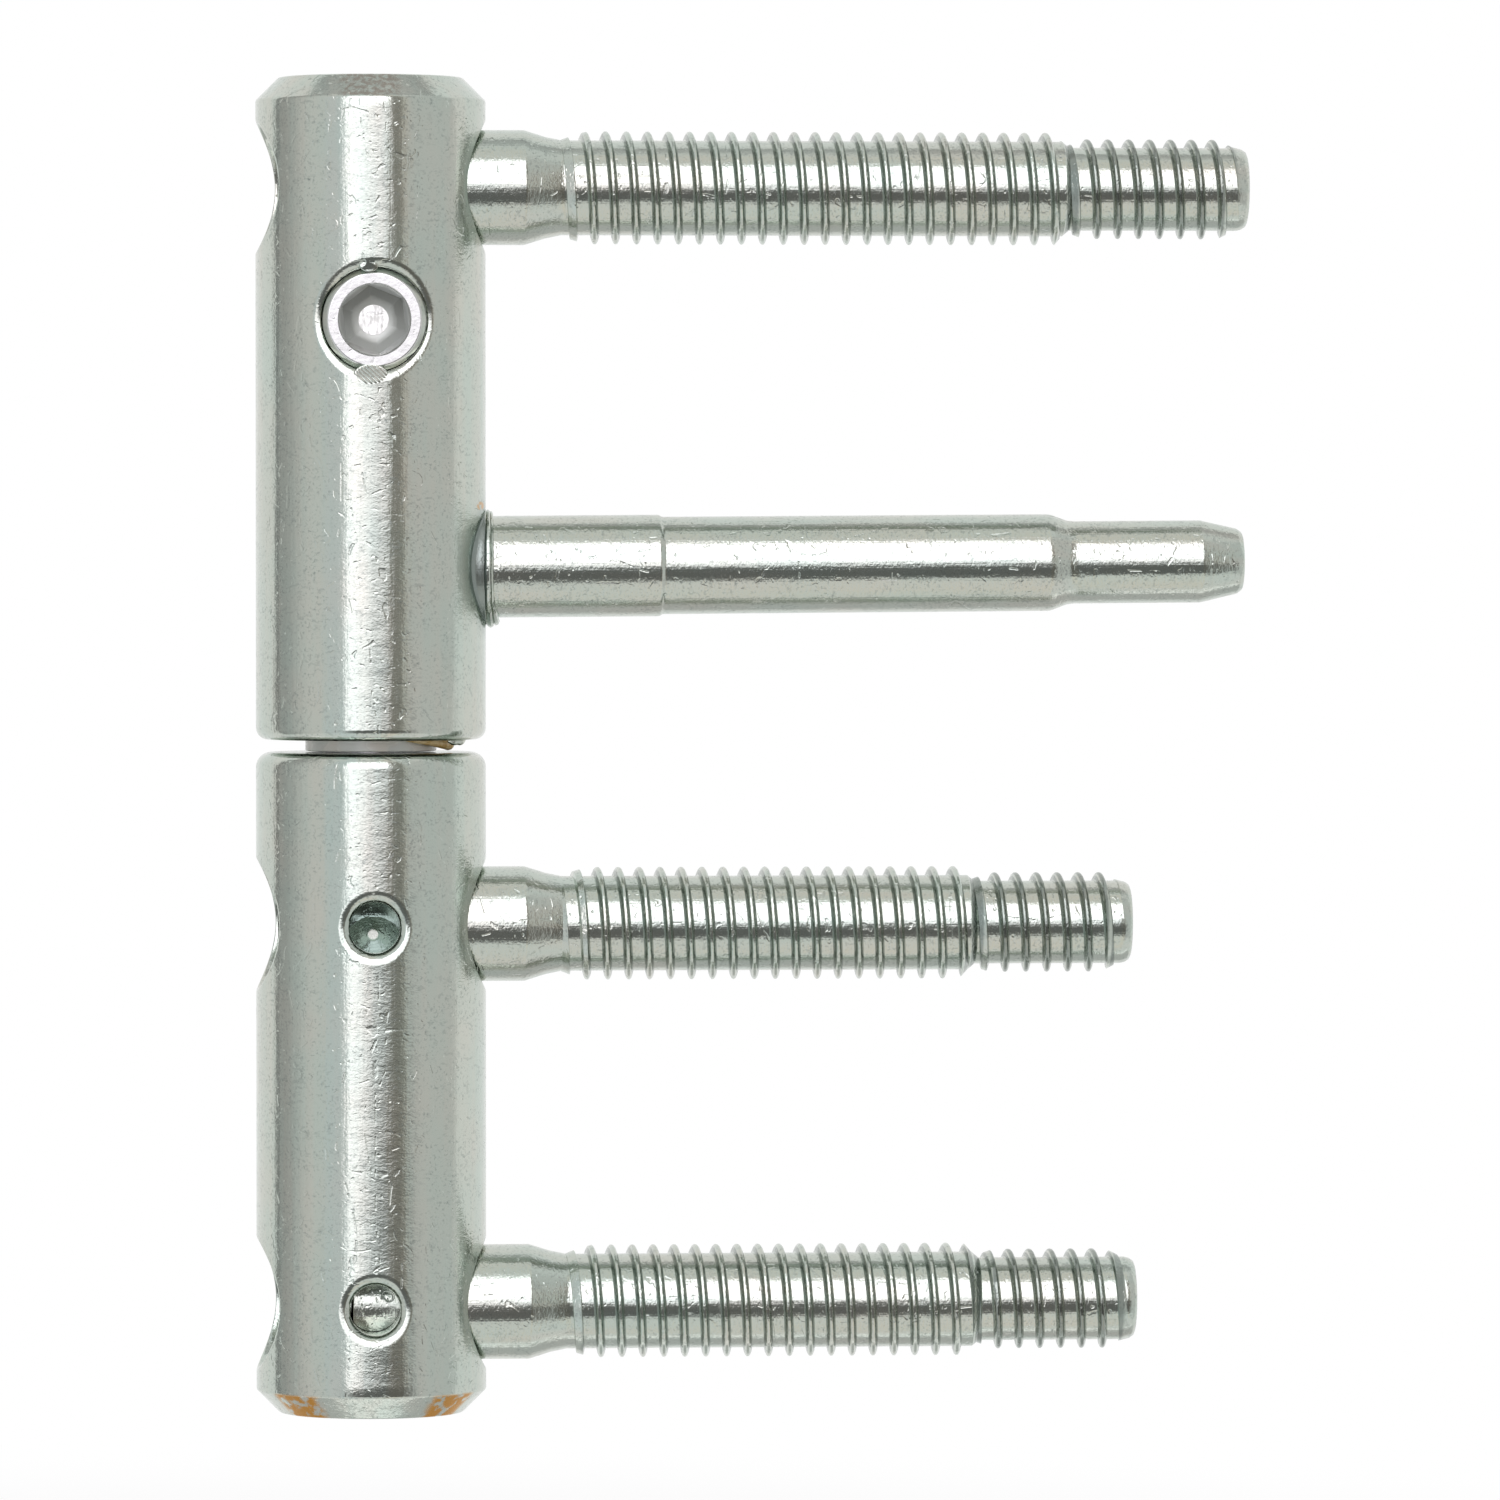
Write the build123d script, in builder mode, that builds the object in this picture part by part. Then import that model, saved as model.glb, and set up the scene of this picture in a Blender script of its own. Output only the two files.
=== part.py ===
from build123d import *
from math import cos, radians, sin, sqrt, tan
import os

# Adjustable barrel hinge for a door: two 20 mm barrels on one hinge axis, each with two pins.
# Millimetres. The hinge axis is Z, Z 0 is the joint face of the frame barrel, the pins point
# along +X, and the front of the hinge, where the screw and the small holes are, faces -Y.

os.makedirs("parts", exist_ok=True)

# Barrels
barrel_radius = 10.0
first_pin_distance = 15.0  # from a barrel's joint face to its nearer pin
pin_spacing = 33.0
end_margin = 9.5  # from the outer pin to the barrel's outer end
joint_gap = 1.1
end_chamfer = 2.0
frame_edge_round = 1.3
leaf_edge_round = 1.0
cross_bore_radius = 5.6
bore_edge_break = 0.3
crown_share = 0.85  # of the radius, beyond which an edge lies on the front crown
inner_web = 1.2  # wall left between a cross bore and the bore along the hinge axis

# Threaded pins
head_rear = -8.0  # where the key's end of a pin lies, measured from the hinge axis
head_front = 6.4
collar_radius = 5.0
collar_end = 13.3
neck_radius = 4.3
neck_length = 3.0
thread_radius = 4.95
thread_lead_in = 1.6
small_thread_radius = 4.43
leaf_small_thread_length = 14.4
frame_small_thread_length = 12.9
step_length = 0.8
tip_radius = 3.25
tip_length = 1.6
leaf_thread_end = 59.8
frame_thread_end = 51.5
pin_key_width = 6.0  # across flats
pin_key_depth = 5.0
head_chamfer = 0.5

# Dowels that keep the threaded pins in their bores
dowel_radius = 1.5
dowel_station = -4.1  # along the pin
dowel_inner_end = -5.0
groove_depth = 1.5
dowel_chamfer = 0.3

# Guide pin
guide_root_radius = 4.43
guide_root_end = 25.3
guide_radius = 4.23
guide_end = 59.3
guide_taper_length = 1.9
guide_lead_radius = 3.6
guide_lead_end = 72.7
guide_tip_radius = 2.75
guide_tip = 76.3
guide_tip_chamfer = 0.3
weld_bead_width = 0.75
weld_bead_height = 0.8

# Hinge pin, bush and thrust parts
hinge_pin_radius = 4.0
hinge_pin_top = 26.0
bush_wall = 1.65
ball_radius = 3.0
cup_depth = 1.9
cup_half_angle = 45.0  # conical seats above and below the ball
leaf_bore_edge_break = 0.4
thrust_cap_chamfer = 0.4

# Height screw and its cam
screw_distance = 36.3  # from the leaf barrel's joint face
screw_head_radius = 4.47
screw_face_recess = 0.7
screw_face_chamfer = 0.47
screw_head_wall = 0.2  # between the head's back and the bore along the hinge axis
screw_key_width = 5.2
screw_key_floor = 0.85  # metal left between the socket and the head's back
screw_key_turn = 7.6
screw_key_lead_radius = 3.18
screw_key_lead_depth = 0.7
screw_spot_radius = 1.3
screw_spot_depth = 0.2
screw_mouth_chamfer = 0.5
stake_depth = 0.15  # below the barrel's front crown
stake_thickness = 0.45
lower_stake = (-0.4, -4.67, 1.45, 0.8)  # place across and up from the screw, half width and half height
upper_stake = (-0.5, 4.54, 0.8, 0.45)
cam_radius = 1.9  # where the cam is lowest, and the shaft beside it
cam_lift = 2.5
cam_turn = 240.0
cam_half_width = 3.3
cam_spans = 8  # even steps of turn along the cam's curve
journal_wall = 1.3  # barrel wall left behind the shaft's end

# Front holes of the frame barrel
lock_bore_radius = 2.2
lock_mouth_chamfer = 0.5
dimple_radius = 2.2
dimple_depth = 1.3
dimple_turn = 8.0  # downwards about the pin

# Clearances
running_clearance = 0.08  # radial, pins and screw that turn in their bores
sliding_clearance = 0.05  # radial, bush and cap
face_clearance = 0.1
ball_clearance = 0.03
groove_clearance = 0.05

# Worked out from the sizes above
barrel_length = first_pin_distance + pin_spacing + end_margin
head_radius = cross_bore_radius - running_clearance
groove_radius = head_radius - groove_depth
dowel_offset = groove_radius + groove_clearance + dowel_radius
seat_depth = first_pin_distance - cross_bore_radius - inner_web
bush_inner_radius = hinge_pin_radius + sliding_clearance
bush_radius = bush_inner_radius + bush_wall
leaf_bore_radius = bush_radius + sliding_clearance
cone_reach = (ball_radius + ball_clearance) / sin(radians(cup_half_angle))  # from the ball's centre to a seat's tip
ball_height = hinge_pin_top - cup_depth + cone_reach
cap_bottom = ball_height + cone_reach - cup_depth
cup_mouth_radius = cup_depth * tan(radians(cup_half_angle))
screw_bore_radius = screw_head_radius + running_clearance

leaf_bottom = joint_gap
guide_height = joint_gap + first_pin_distance
leaf_pin_height = guide_height + pin_spacing
frame_upper_height = -first_pin_distance
frame_lower_height = frame_upper_height - pin_spacing
screw_height = joint_gap + screw_distance
cap_top = screw_height - cam_radius - face_clearance
leaf_bore_top = leaf_pin_height - cross_bore_radius - inner_web
screw_head_back = -leaf_bore_radius - screw_head_wall
screw_face = -barrel_radius + screw_face_recess
screw_key_depth = screw_head_back - screw_face - screw_key_floor
shaft_end = barrel_radius - journal_wall


def across(height):
    """A place at this height on the hinge axis, with its own Z pointing along the pins."""
    return Location((0, 0, height), (0, 90, 0))


def from_front(height):
    """A place on the front crown of a barrel, with its own Z pointing out of the metal."""
    return Location((0, -barrel_radius, height), (90, 0, 0))


def from_back(station, height):
    """A place behind a barrel, with its own Z pointing out of the metal."""
    return Location((station, barrel_radius, height), (-90, 0, 0))


def curved_rims(part, height, reach):
    """The saddle-shaped edges that a hole at this height leaves on the outside of a barrel."""
    near = part.edges().filter_by_position(Axis.Z, height - reach, height + reach)
    return near.filter_by(GeomType.CIRCLE, reverse=True).filter_by(GeomType.LINE, reverse=True)


def front_rims(part, height, reach):
    """Those of the curved rims that lie on a barrel's front crown."""
    return curved_rims(part, height, reach).filter_by_position(Axis.Y, -barrel_radius, -crown_share * barrel_radius)


# Frame barrel
with BuildPart() as frame_barrel:
    with BuildSketch():
        Circle(barrel_radius)
    extrude(amount=-barrel_length)
    rims = frame_barrel.edges().filter_by(GeomType.CIRCLE).sort_by(Axis.Z)
    chamfer(rims[0], end_chamfer)
    fillet(rims[-1], frame_edge_round)
    with Locations((0, 0, 0)):
        Hole(hinge_pin_radius, depth=seat_depth)
    for height in (frame_upper_height, frame_lower_height):
        with Locations(across(height)):
            Hole(cross_bore_radius)
        chamfer(curved_rims(frame_barrel, height, cross_bore_radius), bore_edge_break)
        with Locations(from_front(height)):
            Hole(lock_bore_radius, depth=barrel_radius)
        chamfer(front_rims(frame_barrel, height, cross_bore_radius), lock_mouth_chamfer)
        with Locations(from_back(dowel_station, height - dowel_offset)):
            Hole(dowel_radius, depth=barrel_radius - dowel_inner_end)
frame_barrel.part.label = "frame_barrel"


# Leaf barrel
with BuildPart() as leaf_barrel:
    with BuildSketch(Plane.XY.offset(leaf_bottom)):
        Circle(barrel_radius)
    extrude(amount=barrel_length)
    rims = leaf_barrel.edges().filter_by(GeomType.CIRCLE).sort_by(Axis.Z)
    chamfer(rims[-1], end_chamfer)
    fillet(rims[0], leaf_edge_round)
    with BuildSketch(Plane.XY.offset(leaf_bottom)):
        Circle(leaf_bore_radius)
    extrude(amount=leaf_bore_top - leaf_bottom, mode=Mode.SUBTRACT)
    mouth = leaf_barrel.edges().filter_by(GeomType.CIRCLE).group_by(Axis.Z)[0].sort_by(SortBy.RADIUS)[0]
    chamfer(mouth, leaf_bore_edge_break)
    with Locations(across(leaf_pin_height)):
        Hole(cross_bore_radius)
    chamfer(curved_rims(leaf_barrel, leaf_pin_height, cross_bore_radius), bore_edge_break)
    with Locations(from_front(screw_height)):
        Hole(screw_bore_radius, depth=barrel_radius)
    chamfer(front_rims(leaf_barrel, screw_height, screw_bore_radius), screw_mouth_chamfer)
    with Locations(from_front(screw_height)):
        Hole(cam_radius + running_clearance, depth=barrel_radius + shaft_end + face_clearance)
    front = Plane(origin=(0, -barrel_radius + stake_depth, screw_height), x_dir=(1, 0, 0), z_dir=(0, -1, 0))
    for aside, above, half_width, half_height in (lower_stake, upper_stake):
        with BuildSketch(front):
            with Locations((aside, above)):
                Ellipse(half_width, half_height)
        extrude(amount=-stake_thickness)
    with Locations(from_back(dowel_station, leaf_pin_height + dowel_offset)):
        Hole(dowel_radius, depth=barrel_radius - dowel_inner_end)
leaf_barrel.part.label = "leaf_barrel"


# Threaded pins
def screw_pin(height, thread_end, small_thread_length, dimpled=False):
    """A turned pin along X: keyed head with a groove, collar, neck, and two thread diameters."""
    small_end = thread_end + step_length + small_thread_length
    groove_start = dowel_station - dowel_radius - groove_clearance
    groove_end = dowel_station + dowel_radius + groove_clearance
    plane = Plane(origin=(0, 0, height), x_dir=(1, 0, 0), z_dir=(0, -1, 0))
    with BuildPart() as pin:
        with BuildSketch(plane):
            with BuildLine():
                Polyline(
                    (head_rear, 0),
                    (head_rear, head_radius - head_chamfer),
                    (head_rear + head_chamfer, head_radius),
                    (groove_start, head_radius),
                    (groove_start, groove_radius),
                    (groove_end, groove_radius),
                    (groove_end, head_radius),
                    (head_front, head_radius),
                    (head_front, collar_radius),
                    (collar_end, collar_radius),
                    (collar_end + neck_length, neck_radius),
                    (collar_end + neck_length + thread_lead_in, thread_radius),
                    (thread_end, thread_radius),
                    (thread_end + step_length, small_thread_radius),
                    (small_end, small_thread_radius),
                    (small_end + tip_length, tip_radius),
                    (small_end + tip_length, 0),
                    close=True,
                )
            make_face()
        revolve(axis=Axis((0, 0, height), (1, 0, 0)))
        with BuildSketch(Plane(origin=(head_rear, 0, height), x_dir=(0, 1, 0), z_dir=(-1, 0, 0))):
            RegularPolygon(pin_key_width / 2, 6, major_radius=False)
        extrude(amount=-pin_key_depth, mode=Mode.SUBTRACT)
        if dimpled:
            outward = (0, -cos(radians(dimple_turn)), -sin(radians(dimple_turn)))
            with BuildSketch(Plane(origin=(0, 0, height), x_dir=outward, z_dir=(1, 0, 0))):
                with BuildLine():
                    Polyline(
                        (head_radius - dimple_depth, 0),
                        (head_radius + dimple_depth, 2 * dimple_radius),
                        (head_radius + dimple_depth, 0),
                        close=True,
                    )
                make_face()
            revolve(axis=Axis((0, 0, height), outward), mode=Mode.SUBTRACT)
    return pin


leaf_screw_pin = screw_pin(leaf_pin_height, leaf_thread_end, leaf_small_thread_length)
leaf_screw_pin.part.label = "leaf_screw_pin"

frame_pin_lower = screw_pin(frame_lower_height, frame_thread_end, frame_small_thread_length)
frame_pin_lower.part.label = "frame_pin_lower"

frame_pin_upper = screw_pin(frame_upper_height, frame_thread_end, frame_small_thread_length, dimpled=True)
frame_pin_upper.part.label = "frame_pin_upper"


# Dowels
def dowel(height):
    """A short dowel along Y, just below the surface at the back of a barrel."""
    lowest_skin = sqrt(barrel_radius**2 - (abs(dowel_station) + dowel_radius) ** 2)
    outer_end = lowest_skin - face_clearance
    with BuildPart() as pin:
        with BuildSketch(Plane(origin=(dowel_station, outer_end, height), x_dir=(1, 0, 0), z_dir=(0, 1, 0))):
            Circle(dowel_radius)
        extrude(amount=dowel_inner_end - outer_end)
        chamfer(pin.edges().filter_by(GeomType.CIRCLE), dowel_chamfer)
    return pin


leaf_dowel = dowel(leaf_pin_height + dowel_offset)
leaf_dowel.part.label = "leaf_dowel"
frame_dowel_upper = dowel(frame_upper_height - dowel_offset)
frame_dowel_upper.part.label = "frame_dowel_upper"
frame_dowel_lower = dowel(frame_lower_height - dowel_offset)
frame_dowel_lower.part.label = "frame_dowel_lower"


# Guide pin, saddled onto the leaf barrel
with BuildPart() as guide_pin:
    with BuildSketch(Plane(origin=(0, 0, guide_height), x_dir=(1, 0, 0), z_dir=(0, -1, 0))):
        with BuildLine():
            Polyline(
                (leaf_bore_radius, 0),
                (leaf_bore_radius, guide_root_radius),
                (guide_root_end, guide_root_radius),
                (guide_root_end, guide_radius),
                (guide_end, guide_radius),
                (guide_end + guide_taper_length, guide_lead_radius),
                (guide_lead_end, guide_lead_radius),
                (guide_tip, guide_tip_radius),
                (guide_tip, 0),
                close=True,
            )
        make_face()
    revolve(axis=Axis((0, 0, guide_height), (1, 0, 0)))
    tip_rim = guide_pin.edges().filter_by(GeomType.CIRCLE).sort_by(Axis.X)[-1]
    chamfer(tip_rim, guide_tip_chamfer)
    with BuildSketch(Plane.XY.offset(leaf_bottom)):
        Circle(barrel_radius)
    extrude(amount=barrel_length, mode=Mode.SUBTRACT)
guide_pin.part.label = "guide_pin"

# Weld bead round the guide pin's root, following the barrel
with BuildPart() as weld_bead:
    with BuildSketch(Plane(origin=(0, 0, guide_height), x_dir=(0, 1, 0), z_dir=(1, 0, 0))):
        Circle(guide_root_radius + weld_bead_width)
        Circle(guide_root_radius, mode=Mode.SUBTRACT)
    extrude(amount=barrel_radius + weld_bead_height)
    with BuildSketch(Plane.XY.offset(leaf_bottom)):
        Circle(barrel_radius + weld_bead_height)
    extrude(amount=barrel_length, mode=Mode.INTERSECT)
    with BuildSketch(Plane.XY.offset(leaf_bottom)):
        Circle(barrel_radius)
    extrude(amount=barrel_length, mode=Mode.SUBTRACT)
weld_bead.part.label = "weld_bead"


# Hinge pin with a conical seat for the ball
standing = (Align.CENTER, Align.CENTER, Align.MIN)

with BuildPart() as hinge_pin:
    with BuildSketch(Plane.XY.offset(-seat_depth)):
        Circle(hinge_pin_radius)
    extrude(amount=seat_depth + hinge_pin_top)
    with Locations((0, 0, hinge_pin_top - cup_depth)):
        Cone(0, cup_mouth_radius, cup_depth, align=standing, mode=Mode.SUBTRACT)
hinge_pin.part.label = "hinge_pin"

with BuildPart() as thrust_ball:
    with Locations((0, 0, ball_height)):
        Sphere(ball_radius)
thrust_ball.part.label = "thrust_ball"

with BuildPart() as thrust_cap:
    with BuildSketch(Plane.XY.offset(cap_bottom)):
        Circle(bush_radius)
    extrude(amount=cap_top - cap_bottom)
    chamfer(thrust_cap.edges().filter_by(GeomType.CIRCLE), thrust_cap_chamfer)
    with Locations((0, 0, cap_bottom)):
        Cone(cup_mouth_radius, 0, cup_depth, align=standing, mode=Mode.SUBTRACT)
thrust_cap.part.label = "thrust_cap"

with BuildPart() as pivot_bush:
    with BuildSketch(Plane.XY.offset(face_clearance)):
        Circle(bush_radius)
        Circle(bush_inner_radius, mode=Mode.SUBTRACT)
    extrude(amount=cap_bottom - 2 * face_clearance)
pivot_bush.part.label = "pivot_bush"


# Height screw: head with a hexagon socket, shaft, and a cam whose lift is even over its turn
def cam_point(turn):
    """A point of the curve that lifts a flat face evenly: the involute of a small circle."""
    rise = cam_lift / radians(cam_turn)
    reach = cam_radius + rise * radians(turn)
    across_face = reach * sin(radians(turn)) + rise * cos(radians(turn))
    along_lift = rise * sin(radians(turn)) - reach * cos(radians(turn))
    return (across_face, along_lift)


with BuildPart() as height_screw:
    screw_axis = Axis((0, 0, screw_height), (0, 1, 0))
    with BuildSketch(Plane(origin=(0, 0, screw_height), x_dir=(0, 1, 0), z_dir=(1, 0, 0))):
        with BuildLine():
            Polyline(
                (screw_face, 0),
                (screw_face, screw_head_radius - screw_face_chamfer),
                (screw_face + screw_face_chamfer, screw_head_radius),
                (screw_head_back, screw_head_radius),
                (screw_head_back, cam_radius),
                (shaft_end, cam_radius),
                (shaft_end, 0),
                close=True,
            )
        make_face()
    revolve(axis=screw_axis)
    with BuildSketch(Plane(origin=(0, cam_half_width, screw_height), x_dir=(1, 0, 0), z_dir=(0, -1, 0))):
        with BuildLine():
            flank = Spline([cam_point(cam_turn * step / cam_spans) for step in range(cam_spans + 1)])
            Line(flank @ 1, (0, 0))
            Line((0, 0), flank @ 0)
        make_face()
    extrude(amount=2 * cam_half_width)
    with BuildSketch(Plane(origin=(0, screw_face, screw_height), x_dir=(1, 0, 0), z_dir=(0, -1, 0))):
        RegularPolygon(screw_key_width / 2, 6, major_radius=False, rotation=90 + screw_key_turn)
    extrude(amount=-screw_key_depth, mode=Mode.SUBTRACT)
    with Locations(Location((0, screw_face, screw_height), (90, 0, 0))):
        Cone(
            screw_key_lead_radius - screw_key_lead_depth,
            screw_key_lead_radius,
            screw_key_lead_depth,
            align=(Align.CENTER, Align.CENTER, Align.MAX),
            mode=Mode.SUBTRACT,
        )
    with Locations(Location((0, screw_face + screw_key_depth, screw_height), (90, 0, 0))):
        Hole(screw_spot_radius, depth=screw_spot_depth)
height_screw.part.label = "height_screw"


# Every piece in its own file
export_step(frame_barrel.part, "parts/frame_barrel.step")
export_step(leaf_barrel.part, "parts/leaf_barrel.step")
export_step(leaf_screw_pin.part, "parts/leaf_screw_pin.step")
export_step(guide_pin.part, "parts/guide_pin.step")
export_step(weld_bead.part, "parts/weld_bead.step")
export_step(frame_pin_upper.part, "parts/frame_pin_upper.step")
export_step(frame_pin_lower.part, "parts/frame_pin_lower.step")
export_step(height_screw.part, "parts/height_screw.step")
export_step(pivot_bush.part, "parts/pivot_bush.step")
export_step(hinge_pin.part, "parts/hinge_pin.step")
export_step(thrust_ball.part, "parts/thrust_ball.step")
export_step(thrust_cap.part, "parts/thrust_cap.step")
export_step(leaf_dowel.part, "parts/leaf_dowel.step")
export_step(frame_dowel_upper.part, "parts/frame_dowel_upper.step")
export_step(frame_dowel_lower.part, "parts/frame_dowel_lower.step")
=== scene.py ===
# %% [markdown]
# # An adjustable barrel hinge
# This hinge hangs a door. Two round steel barrels stand end to end on one axis. Threaded pins
# and a smooth guide pin are driven into the frame and into the door leaf. The solids of every
# piece are made and packed already, so this lesson dresses them: each piece that shows is
# modelled finely in the place of its solid, and gets its bright zinc finish.

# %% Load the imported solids
import math

import bmesh
import bpy
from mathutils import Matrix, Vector, noise


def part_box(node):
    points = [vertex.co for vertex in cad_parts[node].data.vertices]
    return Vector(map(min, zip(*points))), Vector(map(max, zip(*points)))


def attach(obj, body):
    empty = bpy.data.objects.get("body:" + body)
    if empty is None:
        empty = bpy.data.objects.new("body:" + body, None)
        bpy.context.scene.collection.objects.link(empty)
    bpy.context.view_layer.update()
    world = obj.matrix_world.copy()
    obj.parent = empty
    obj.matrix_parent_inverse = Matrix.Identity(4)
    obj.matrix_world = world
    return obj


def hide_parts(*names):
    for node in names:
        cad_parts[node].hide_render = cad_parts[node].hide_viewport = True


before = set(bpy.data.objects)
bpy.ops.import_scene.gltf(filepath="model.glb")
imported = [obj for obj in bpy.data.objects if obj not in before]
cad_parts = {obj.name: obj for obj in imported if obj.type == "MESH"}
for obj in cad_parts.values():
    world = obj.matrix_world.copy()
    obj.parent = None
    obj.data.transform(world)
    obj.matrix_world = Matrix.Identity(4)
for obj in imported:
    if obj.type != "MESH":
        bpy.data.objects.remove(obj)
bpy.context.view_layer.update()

# %% [markdown]
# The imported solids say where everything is. A radius, a height or an end is read from a
# solid's box, so the fine pieces can't drift away from the solids that they stand for.

# %% Places and sizes from the solids
mm = 0.001


def low(node):
    """The lowest corner of a solid's box."""
    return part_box(node)[0]


def high(node):
    """The highest corner of a solid's box."""
    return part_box(node)[1]


def middle(node):
    """The middle of a solid's box."""
    return (low(node) + high(node)) / 2


barrel_radius = high("frame_barrel").x
leaf_bottom = low("leaf_barrel").z
leaf_top = high("leaf_barrel").z
frame_bottom = low("frame_barrel").z
leaf_pin_height = middle("leaf_screw_pin").z
guide_height = middle("guide_pin").z
upper_pin_height = middle("frame_pin_upper").z
lower_pin_height = middle("frame_pin_lower").z
screw_height = middle("height_screw").z
pin_head_radius = high("frame_pin_lower").z - lower_pin_height
print("barrel radius", round(barrel_radius / mm, 2), "mm")

# %% [markdown]
# The camera comes early, because every later choice is judged through it. The hinge was
# photographed from the left and slightly from above, with a long lens: the pins' ends are
# almost as large as their roots, and the holes in front show a little of their right walls.

# %% Camera
camera_place = Vector((-31.5, -850, 18.5)) * mm
aim = Vector((33.1, 0, 0.1)) * mm
picture_width = 131 * mm
sensor_width = 36

camera = bpy.data.objects.new("camera", bpy.data.cameras.new("camera"))
bpy.context.scene.collection.objects.link(camera)
camera.location = camera_place
camera.rotation_euler = (aim - camera_place).to_track_quat("-Z", "Y").to_euler()
camera.data.sensor_width = sensor_width
camera.data.lens = sensor_width * (aim - camera_place).length / picture_width
camera.data.clip_start = 10 * mm
bpy.context.scene.camera = camera
bpy.context.scene.view_settings.view_transform = "Standard"
print("lens", round(camera.data.lens, 1), "mm")

# %% [markdown]
# A finish is easier to read as a sum than as boxes and strings. This small class wraps one
# socket of a node tree. Adding or multiplying it adds the Math node that does the same.

# %% Shader maths as expressions


class Wire:
    """A socket of a node tree that can be written as if it were a number."""

    def __init__(self, tree, socket=None):
        self.tree = tree
        self.socket = socket

    def node(self, kind, settings=None, values=None, output=0):
        """Any node: its settings first, then the values or wires of its sockets."""
        made = self.tree.nodes.new(kind)
        for name, value in (settings or {}).items():
            setattr(made, name, value)
        for name, value in (values or {}).items():
            if isinstance(value, Wire):
                self.tree.links.new(value.socket, made.inputs[name])
            else:
                made.inputs[name].default_value = value
        return Wire(self.tree, made.outputs[output] if made.outputs else None)

    def math(self, operation, first, second=0.0):
        return self.node("ShaderNodeMath", {"operation": operation}, {0: first, 1: second})

    def __add__(self, other):
        return self.math("ADD", self, other)

    __radd__ = __add__

    def __mul__(self, other):
        return self.math("MULTIPLY", self, other)

    __rmul__ = __mul__

    def __sub__(self, other):
        return self.math("SUBTRACT", self, other)

    def __rsub__(self, other):
        return self.math("SUBTRACT", other, self)

    def step(self, start, end):
        """Rises smoothly from 0 to 1 between two values."""
        ends = {"Value": self, "From Min": start, "From Max": end}
        return self.node("ShaderNodeMapRange", {"interpolation_type": "SMOOTHSTEP"}, ends)

    def between(self, start, end, soft):
        """1 between two values and 0 outside, with soft borders."""
        return self.step(start - soft, start + soft) * (1 - self.step(end - soft, end + soft))

    def towards(self, base, value):
        """A number that goes from base to value as this mask goes from 0 to 1."""
        return self.node("ShaderNodeMix", {"data_type": "FLOAT"}, {0: self, 2: base, 3: value})

    def tint(self, base, colour):
        """A colour that goes from base to colour as this mask goes from 0 to 1."""
        return self.node("ShaderNodeMix", {"data_type": "RGBA"}, {0: self, 6: base, 7: colour}, 2)

    def axis(self, name):
        """One coordinate of a vector."""
        return self.node("ShaderNodeSeparateXYZ", values={0: self}, output=name)

    def stretched(self, scale):
        """A vector whose coordinates are scaled one by one."""
        return self.node("ShaderNodeVectorMath", {"operation": "MULTIPLY"}, {0: self, 1: scale})

    def noise(self, size, detail=2.0, distortion=0.0):
        """Noise from 0 to 1 whose spots are about this size in metres."""
        values = {"Vector": self, "Scale": 1 / size, "Detail": detail, "Distortion": distortion}
        return self.node("ShaderNodeTexNoise", values=values)

    def spots(self, size):
        """Distance to scattered points, as a share of their spacing in metres."""
        return self.node("ShaderNodeTexVoronoi", values={"Vector": self, "Scale": 1 / size})


print("shader maths ready")

# %% [markdown]
# Bright metal shows the room and hardly its own colour, so the room decides the look. Here
# it is a plain studio: one large soft box in front and above, a darker surround, pale walls
# and a white backdrop. The world holds it all, as a level of light for each direction. Each
# line below lays one more area over the ones before, by its angles in degrees.

# %% Studio
studio = bpy.data.worlds.new("studio")
studio.use_nodes = True
studio.node_tree.nodes.clear()
bpy.context.scene.world = studio

room = Wire(studio.node_tree)
direction = room.node("ShaderNodeTexCoord", output="Generated")
right = direction.axis("X")
back = direction.axis("Y")
up = direction.axis("Z")
degrees = 180 / math.pi
azimuth = room.math("ARCTAN2", right, 0 - back) * degrees
elevation = room.math("ARCSINE", up) * degrees
upright_turn = room.math("ARCTAN2", up, 0 - back) * degrees
near_upright = right.between(-0.6, 0.6, 0.05)

backdrop = 0.97
left_wall = 0.46 + 0.34 * azimuth.step(-106, -60)
level = azimuth.between(-106, -44, 1.5).towards(backdrop, left_wall)
level = azimuth.between(31, 92, 2).towards(level, 0.72)  # right wall
level = azimuth.between(-114, -107, 1).towards(level, 0.22)  # dark end of the left wall
level = azimuth.between(-45, -20, 2).towards(level, 0.8)  # front, left of the soft box
level = azimuth.between(-20, 31, 2).towards(level, 0.3)  # front, round the soft box
level = (elevation.step(53, 57) * (1 - back.step(-0.05, 0.1))).towards(level, 0.85)  # ceiling
low_front = elevation.between(-36, -5, 3) * azimuth.between(-25, 40, 12)
level = low_front.towards(level, 0.17)
level = (1 - elevation.step(-37, -34)).towards(level, 0.9)  # table
level = (upright_turn.between(104, 111, 1.5) * near_upright).towards(level, 0.42)  # rear, above
level = (upright_turn.between(92, 104, 1.5) * near_upright).towards(level, 0.6)
level = (upright_turn.between(-136, -98, 2) * near_upright).towards(level, 0.62)  # rear, below
level = (upright_turn.between(-98, -93, 1) * near_upright).towards(level, 1.5)  # table's far edge

box_foot = -4.5 + 0.2 * azimuth
soft_box = azimuth.between(-27, 18, 1.5) * (elevation - box_foot).step(-2.5, 2.5)
soft_box = soft_box * (1 - elevation.step(51, 57))
low_light = azimuth.step(-30, 20).towards(1.95, 0.85)
box_light = elevation.step(-4, 16).towards(low_light, 2.55)
level = soft_box.towards(level, box_light)

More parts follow.
